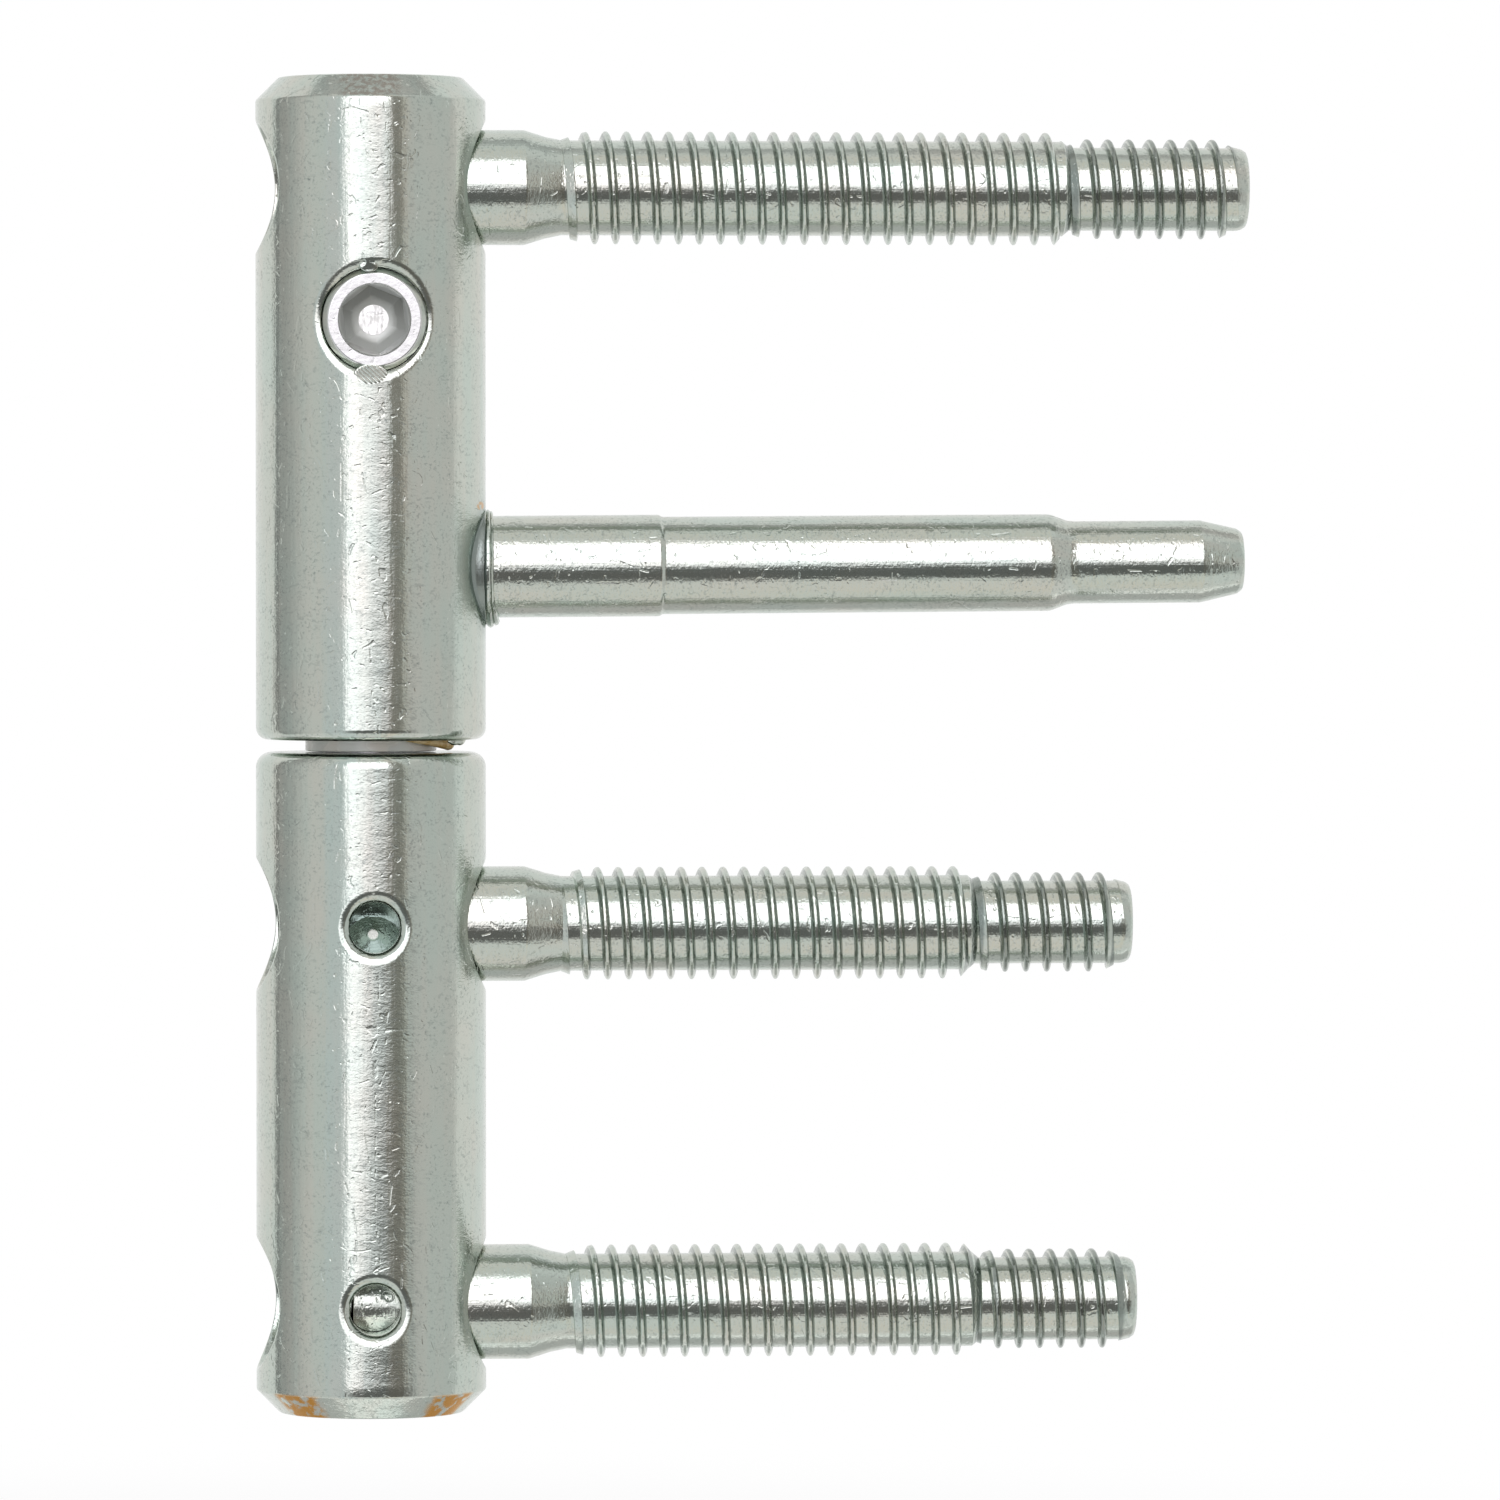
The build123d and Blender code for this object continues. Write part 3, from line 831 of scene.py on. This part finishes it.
def threaded_pin(name, step, tip, first_crest):
    """A pin lying on the X axis, with its thick thread up to a step and its thin one to the tip."""
    risen = [(15.9, 3.95), (16.5, 4.15), (17.4, 4.5), (19.0, 4.95)]
    envelope = [(place * mm, radius * mm) for place, radius in risen]
    envelope += [(step - 0.5 * mm, 4.95 * mm), (step + 0.15 * mm, 4.2 * mm), (step + 1.0 * mm, 3.5 * mm)]
    thick = thread(thread_start, step + 1.5 * mm, thick_core, thick_crest, first_crest)
    combine(thick, lathe("envelope", (0, 0, 0), "X", envelope), "INTERSECT")

    envelope = [(step - 1.2 * mm, 3.4 * mm), (step + 0.6 * mm, 3.78 * mm), (step + 2.4 * mm, 4.45 * mm)]
    envelope += [(tip - 2.7 * mm, 4.45 * mm), (tip - 1.25 * mm, 3.72 * mm)]
    envelope += [(tip - 0.42 * mm, 3.52 * mm), (tip - 0.1 * mm, 3.3 * mm), (tip, 3.1 * mm)]
    thin = thread(step - 1.6 * mm, tip + 0.5 * mm, thin_core, thin_crest, first_crest)
    combine(thin, lathe("envelope", (0, 0, 0), "X", envelope), "INTERSECT")
    combine(thick, thin, "UNION")

    groove_start = dowel.x - dowel_radius
    groove_end = dowel.x + dowel_radius + frame_pin_shift
    groove_floor = pin_head_radius - 1.5 * mm
    stations = [(head_start, pin_head_radius - 0.5 * mm), (head_start + 0.5 * mm, pin_head_radius)]
    stations += [(groove_start, pin_head_radius), (groove_start, groove_floor)]
    stations += [(groove_end, groove_floor), (groove_end, pin_head_radius)]
    turned = [(6.4, 5.52), (6.4, 5.0), (13.35, 5.0), (15.2, 4.42), (16.3, 4.2), (17.3, 3.95)]
    stations += [(place * mm, radius * mm) for place, radius in turned]
    rod = lathe(name, (0, 0, 0), "X", stations, 144)
    soften(rod, 0.12 * mm, 2, 12)
    combine(rod, thick, "UNION")

    corner = key_width / 2 / math.cos(math.pi / 6)
    key_rows = [(-mm, corner), (key_depth, corner), (key_depth + mm, 0.4 * mm)]
    combine(rod, lathe("key", (head_start, 0, 0), "X", key_rows, 6), "DIFFERENCE")
    print(name, "pin from", round(head_start / mm, 1), "to", round(tip / mm, 1), "mm")
    return rod


def duplicate(piece, name):
    """A copy with its own mesh."""
    bpy.ops.object.select_all(action="DESELECT")
    bpy.context.view_layer.objects.active = piece
    piece.select_set(True)
    bpy.ops.object.duplicate()
    bpy.context.object.name = name
    return bpy.context.object


leaf_pin = threaded_pin("leaf_screw_pin_fine", leaf_step, leaf_tip, 16.77 * mm)
frame_pin = threaded_pin("frame_pin_upper_fine", frame_step, frame_tip - frame_pin_shift, 17.9 * mm)
lower_pin = duplicate(frame_pin, "frame_pin_lower_fine")
lower_pin.location.x = frame_pin_shift
lower_pin.rotation_euler.x = math.radians(lower_pin_turn)
raise_to(leaf_pin, leaf_pin_height)
raise_to(lower_pin, lower_pin_height)

# %% [markdown]
# Behind the upper front hole the pin has a drilled dimple, where the tip of a lock screw
# would sit. The drill left fine steps in it, so its cone is turned with a rippled radius.

# %% Dimple in the upper frame pin
dimple_depth = 1.3 * mm
dimple_radius = 2.5 * mm
dimple_turn = 11.0
ripples = 10
stations = [(-pin_head_radius - mm, dimple_radius * 1.77), (-pin_head_radius, dimple_radius)]
for step in range(1, ripples - 1):
    share = step / ripples
    place = -pin_head_radius + dimple_depth * share
    radius = dimple_radius * (1 - share)
    stations += [(place - 0.025 * mm, radius), (place + 0.02 * mm, radius)]
drill = lathe("drill", (0, 0, 0), "Y", stations, 96)
drill.rotation_euler.x = math.radians(dimple_turn)
combine(frame_pin, drill, "DIFFERENCE")
raise_to(frame_pin, upper_pin_height)
finish_piece(leaf_pin, "leaf_pin", "pin_zinc", pin_zinc, "leaf_screw_pin")
finish_piece(frame_pin, "upper_pin", "pin_zinc", pin_zinc, "frame_pin_upper")
finish_piece(lower_pin, "lower_pin", "pin_zinc", pin_zinc, "frame_pin_lower")

# %% [markdown]
# The guide pin is smooth, a little thicker at its root, and has a thinner end that finds
# the hole in the door. A weld holds it: an uneven collar of squeezed-out metal, thicker
# below. The collar is turned first, as a tube with one metre for each of its rows. Then each
# corner goes to its own place: on the round barrel, or outwards where the metal ran.

# %% Guide pin and its weld
guide_tilt = 0.42
guide_tip = high("guide_pin").x
turned = [(7.5, 4.43), (25.15, 4.43), (25.4, 4.25), (59.2, 4.23)]
turned += [(59.6, 4.15), (60.9, 3.66), (61.5, 3.6), (72.6, 3.6)]
guide_rows = [(place * mm, radius * mm) for place, radius in turned]
guide_rows += [(guide_tip - 0.45 * mm, 2.85 * mm), (guide_tip, 2.5 * mm)]
guide_pin = lathe("guide_pin_fine", (0, 0, guide_height), "X", guide_rows, 144)
soften(guide_pin, 0.15 * mm, 3, 5)
edit(guide_pin)
bpy.ops.mesh.select_all(action="SELECT")
root = (barrel_radius, 0, guide_height)
bpy.ops.transform.rotate(value=math.radians(guide_tilt), orient_axis="Y", center_override=root)
close_edit()
finish_piece(guide_pin, "leaf", "pin_zinc", pin_zinc, "guide_pin")

# Rows of the collar in mm: how far it has left the round barrel (0) for a flat ring (1), its
# radius, and how far it stands out there. A corner's X says which row it belongs to.
weld_rows = [(0, 4.1, -1.4), (0, 5.4, -0.6), (0, 5.4, -0.05), (0.05, 5.14, -0.03)]
weld_rows += [(0.13, 5.01, -0.02), (0.26, 4.96, -0.02), (0.5, 4.96, -0.02), (0.74, 4.95, -0.01)]
weld_rows += [(0.8, 4.93, 0.0), (0.82, 4.8, 0.0), (0.9, 4.98, 0.12), (1, 5.0, 0.22)]
weld_rows += [(1, 4.92, 0.33), (1, 4.74, 0.34), (1, 4.86, 0.43), (1, 4.8, 0.56)]
weld_rows += [(1, 4.62, 0.62), (1, 4.35, 0.5)]
stations = [(row, radius) for row, (lift, radius, aside) in enumerate(weld_rows)]
weld = lathe("weld_bead_fine", (0, 0, 0), "X", stations + stations[:1], 160, hollow=True)
for corner in weld.data.vertices:
    lift, radius, aside = weld_rows[round(corner.co.x)]
    spoke = Vector((corner.co.y, corner.co.z)) * mm
    turn = math.atan2(spoke.x, spoke.y)
    below = max(0.0, -math.cos(turn)) ** 4
    uneven = noise.noise(Vector((spoke.x, spoke.y, 0)) / (2.3 * mm))
    uneven += 0.4 * noise.noise(spoke.to_3d() / (0.6 * mm))
    lip = max(0.0, spoke.length - 4.3 * mm)
    spoke *= 1 + lift**3 * (0.09 * below * lip / mm + 0.012 * uneven)
    skin = math.sqrt(barrel_radius**2 - spoke.x**2)
    ring_place = barrel_radius - 0.15 * mm * math.sin(turn) ** 2
    reach = skin + lift * (ring_place - skin)
    reach += aside * mm * (1 + 0.9 * below) + 0.06 * mm * uneven * lift
    corner.co = Vector((reach, spoke.x, guide_height + spoke.y))
finish_piece(weld, "leaf", "pin_zinc", pin_zinc, "weld_bead")

# %% [markdown]
# The height screw shows its face in the front hole: a bright ring, a wide lead into the
# hexagon, and a shallow cone at the bottom with a flat spot. Its cam lies inside the barrel
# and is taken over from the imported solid, cut off just behind the head.

# %% Height screw
screw_radius = high("height_screw").x
screw_front = low("height_screw").y
head_cut = -6.3 * mm
head_chamfer = 0.45 * mm
lead_radius = 3.18 * mm
hexagon_width = 5.2 * mm
hexagon_corner = hexagon_width / 2 / math.cos(math.pi / 6)
hexagon_turn = 7.6
centre = (0, 0, screw_height)

solid = bpy.data.objects["height_screw"]
screw = duplicate(solid, "height_screw_fine")
edit(screw, "VERT")
bpy.ops.mesh.select_all(action="SELECT")
bpy.ops.mesh.remove_doubles(threshold=merge_reach)
bpy.ops.mesh.select_all(action="SELECT")
cut_off((0, head_cut, 0), (0, 1, 0))
close_edit()
head_rows = [(head_cut + 0.1 * mm, screw_radius), (screw_front + head_chamfer, screw_radius)]
head_rows += [(screw_front, screw_radius - head_chamfer)]
head = lathe("head", centre, "Y", head_rows, 144)
soften(head, 0.08 * mm, 3, 20)
socket_rows = [(screw_front - mm, hexagon_corner), (screw_front + 3 * mm, hexagon_corner)]
socket = lathe("socket", (0, 0, 0), "Y", socket_rows, 6)
socket.rotation_euler.y = math.radians(-hexagon_turn)
raise_to(socket, screw_height)
floor_rows = [(-1.2, 3.3), (1.45, 3.3), (1.95, 1.34), (1.97, 1.28)]
floor_rows = [(screw_front + place * mm, radius * mm) for place, radius in floor_rows]
combine(socket, lathe("floor_shape", centre, "Y", floor_rows, 96), "INTERSECT")
combine(head, socket, "DIFFERENCE")
lead = [(screw_front - mm, lead_radius + mm), (screw_front + mm, lead_radius - mm)]
combine(head, lathe("lead", centre, "Y", lead, 96), "DIFFERENCE")
combine(screw, head, "UNION")


face_grey = (0.66, 0.67, 0.655, 1)
# painted light at the foot of the socket's floor, and painted shade at its top
floor_painted_light = (0.72, 0.74, 0.71, 1)
floor_painted_shade = (0.44, 0.45, 0.425, 1)
spot_light = (0.95, 0.96, 0.94, 1)
spot_dark = (0.60, 0.61, 0.58, 1)


def screw_marks(place, colour, roughness, height):
    """A pale face, a dull grey floor in the socket with painted light at its foot and painted shade at
    its top, and a bright scored spot.
    """
    above = place.axis("Z") - screw_height
    across = place.axis("X")
    reach = place.math("SQRT", across * across + above * above)
    sunk = place.axis("Y") - screw_front

    # The face and the lead into the hexagon
    lead = sunk.step(0.03 * mm, 0.08 * mm)
    colour = reach.step(4.05 * mm, 4.15 * mm).tint(face_grey, colour)
    roughness = lead.towards(roughness, 0.3)

    # The socket's floor with painted light at its foot and painted shade at its top, and the scored flat
    # spot in its middle
    floor_mask = sunk.step(1.45 * mm, 1.55 * mm)
    grey = above.step(-2.2 * mm, 2.2 * mm).tint(floor_painted_light, floor_painted_shade)
    colour = floor_mask.tint(colour, grey)
    roughness = floor_mask.towards(roughness, 0.6)
    spot = floor_mask * (1 - reach.step(1.27 * mm, 1.33 * mm))
    scored = place.stretched((1.0, 1.0, 0.3)).noise(0.25 * mm, 3.0)
    colour = spot.tint(colour, scored.step(0.35, 0.62).tint(spot_dark, spot_light))
    height = height + spot * scored * 22
    return colour, spot.towards(roughness, 0.34), height


screw_zinc = zinc("screw_zinc", (1.0, 0.3, 1.0), peel=5.0, dents=0.4, marks=screw_marks)
finish_piece(screw, "screw", "screw_zinc", screw_zinc, "height_screw")

# %% [markdown]
# In the gap between the barrels shows the plastic bush. It is a plain ring with a dull
# sheen. The plating bath and old grease have tinted it a little.

# %% Bush
bush_low, bush_high = low("pivot_bush").z, high("pivot_bush").z
bush_bore = 4.05 * mm
bush_rows = [(bush_low, bush_bore), (bush_low, bush_radius), (bush_high, bush_radius)]
bush_rows += [(bush_high, bush_bore), (bush_low, bush_bore)]
bush = lathe("pivot_bush_fine", (0, 0, 0), "Z", bush_rows, 128, hollow=True)
soften(bush, 0.12 * mm)
plastic, start = start_finish("bush_plastic")
place = start.node("ShaderNodeTexCoord", output="Object")
cloud = place.noise(3 * mm, 2.0).step(0.35, 0.65)
colour = cloud.tint((0.93, 0.95, 0.89, 1), (0.96, 0.92, 0.82, 1))
end_finish(start, colour, 0.24 + 0.08 * cloud, place.noise(0.3 * mm) * 6, metallic=0.0, gloss=1.0)
finish_piece(bush, "pivot", "bush_plastic", plastic, "pivot_bush")

# %% [markdown]
# Small leftovers of its making are part of this hinge. Grease has hardened under the leaf
# barrel's right side, a burr stands beside it, and a curl of swarf sits in the lower front
# hole. Each is a thin tube along a path, drawn as a curve and made into a mesh.

# %% Grease, burr and swarf


def strand(name, points, radii):
    """A closed tube through these points, as thick at each of them as its radius."""
    curve = bpy.data.curves.new(name, "CURVE")
    curve.dimensions = "3D"
    curve.bevel_depth = mm
    curve.bevel_resolution = 4
    curve.use_fill_caps = True
    spline = curve.splines.new("NURBS")
    spline.points.add(len(points) - 1)
    for target, point, radius in zip(spline.points, points, radii):
        target.co = (point[0] * mm, point[1] * mm, point[2] * mm, 1)
        target.radius = radius
    spline.use_endpoint_u = True
    spline.order_u = 3
    spline.resolution_u = 6
    piece = bpy.data.objects.new(name, curve)
    bpy.context.scene.collection.objects.link(piece)
    bpy.ops.object.select_all(action="DESELECT")
    bpy.context.view_layer.objects.active = piece
    piece.select_set(True)
    bpy.ops.object.convert(target="MESH")
    piece = bpy.context.object
    edit(piece)
    close_edit()
    return piece


# The grease runs round the axis under the barrel's edge and gets thicker on its way
wedge_points = []
wedge_radii = []
for step in range(9):
    share = step / 8
    turn = math.radians(27 + 47 * share)
    reach = 6.3 + 0.7 * share
    wedge_points.append((reach * math.sin(turn), -reach * math.cos(turn), 1.08 - 0.38 * share))
    wedge_radii.append(0.08 + 0.5 * share)
wedge_points.append((6.95, -1.7, 0.72))
wedge_radii.append(0.3)
grease_piece = strand("grease", wedge_points, wedge_radii)
grease, start = start_finish("grease")
place = start.node("ShaderNodeTexCoord", output="Object")
cloud = place.noise(0.8 * mm, 2.0).step(0.35, 0.65)
colour = cloud.tint((0.60, 0.36, 0.09, 1), (0.85, 0.66, 0.36, 1))
end_finish(start, colour, 0.35, place.noise(0.2 * mm) * 20, metallic=0.0)
finish_piece(grease_piece, "leaf", None, grease)

burr_points = [(6.5, -4.6, 1.0), (6.9, -4.5, 0.93), (7.3, -4.3, 1.0)]
burr_points += [(7.7, -4.0, 0.95), (8.0, -3.6, 1.08)]
burr = strand("burr", burr_points, [0.12, 0.34, 0.3, 0.36, 0.1])
finish_piece(burr, "leaf", "barrel_zinc", barrel_zinc)

# The swarf is wound in a short curl, with a wider first turn
curl_centre = (1.3, -5.95, -47.05)
curl_points = []
for step in range(17):
    turn = math.radians(200 - 25 * step)
    reach = 0.42 if step > 3 else 0.62
    across = curl_centre[0] + reach * math.cos(turn)
    above = curl_centre[2] + reach * math.sin(turn)
    curl_points.append((across, curl_centre[1] - 0.02 * step, above))
curl = strand("swarf_curl", curl_points, [0.08] * 16 + [0.03])
finish_piece(curl, "frame", "barrel_zinc", barrel_zinc)

# %% [markdown]
# The parts inside can't be seen in the photo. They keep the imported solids' own shape and
# get a ground steel, so that an opened view shows them finished as well.

# %% Hidden steel parts
steel, start = start_finish("bare_steel")
place = start.node("ShaderNodeTexCoord", output="Object")
streak = place.stretched((1.0, 1.0, 0.1)).noise(0.2 * mm)
stain = place.noise(2 * mm, 2.0).step(0.55, 0.7)
colour = stain.tint((0.52, 0.52, 0.53, 1), (0.36, 0.34, 0.31, 1))
end_finish(start, colour, 0.2 + 0.12 * streak, streak * 1.5)
hidden_nodes = ["hinge_pin", "thrust_ball", "thrust_cap"]
hidden_nodes += ["leaf_dowel", "frame_dowel_upper", "frame_dowel_lower"]
for node in hidden_nodes:
    hidden = bpy.data.objects[node]
    hidden.data.materials.clear()
    hidden.data.materials.append(steel)
print("hidden parts in", steel.name)
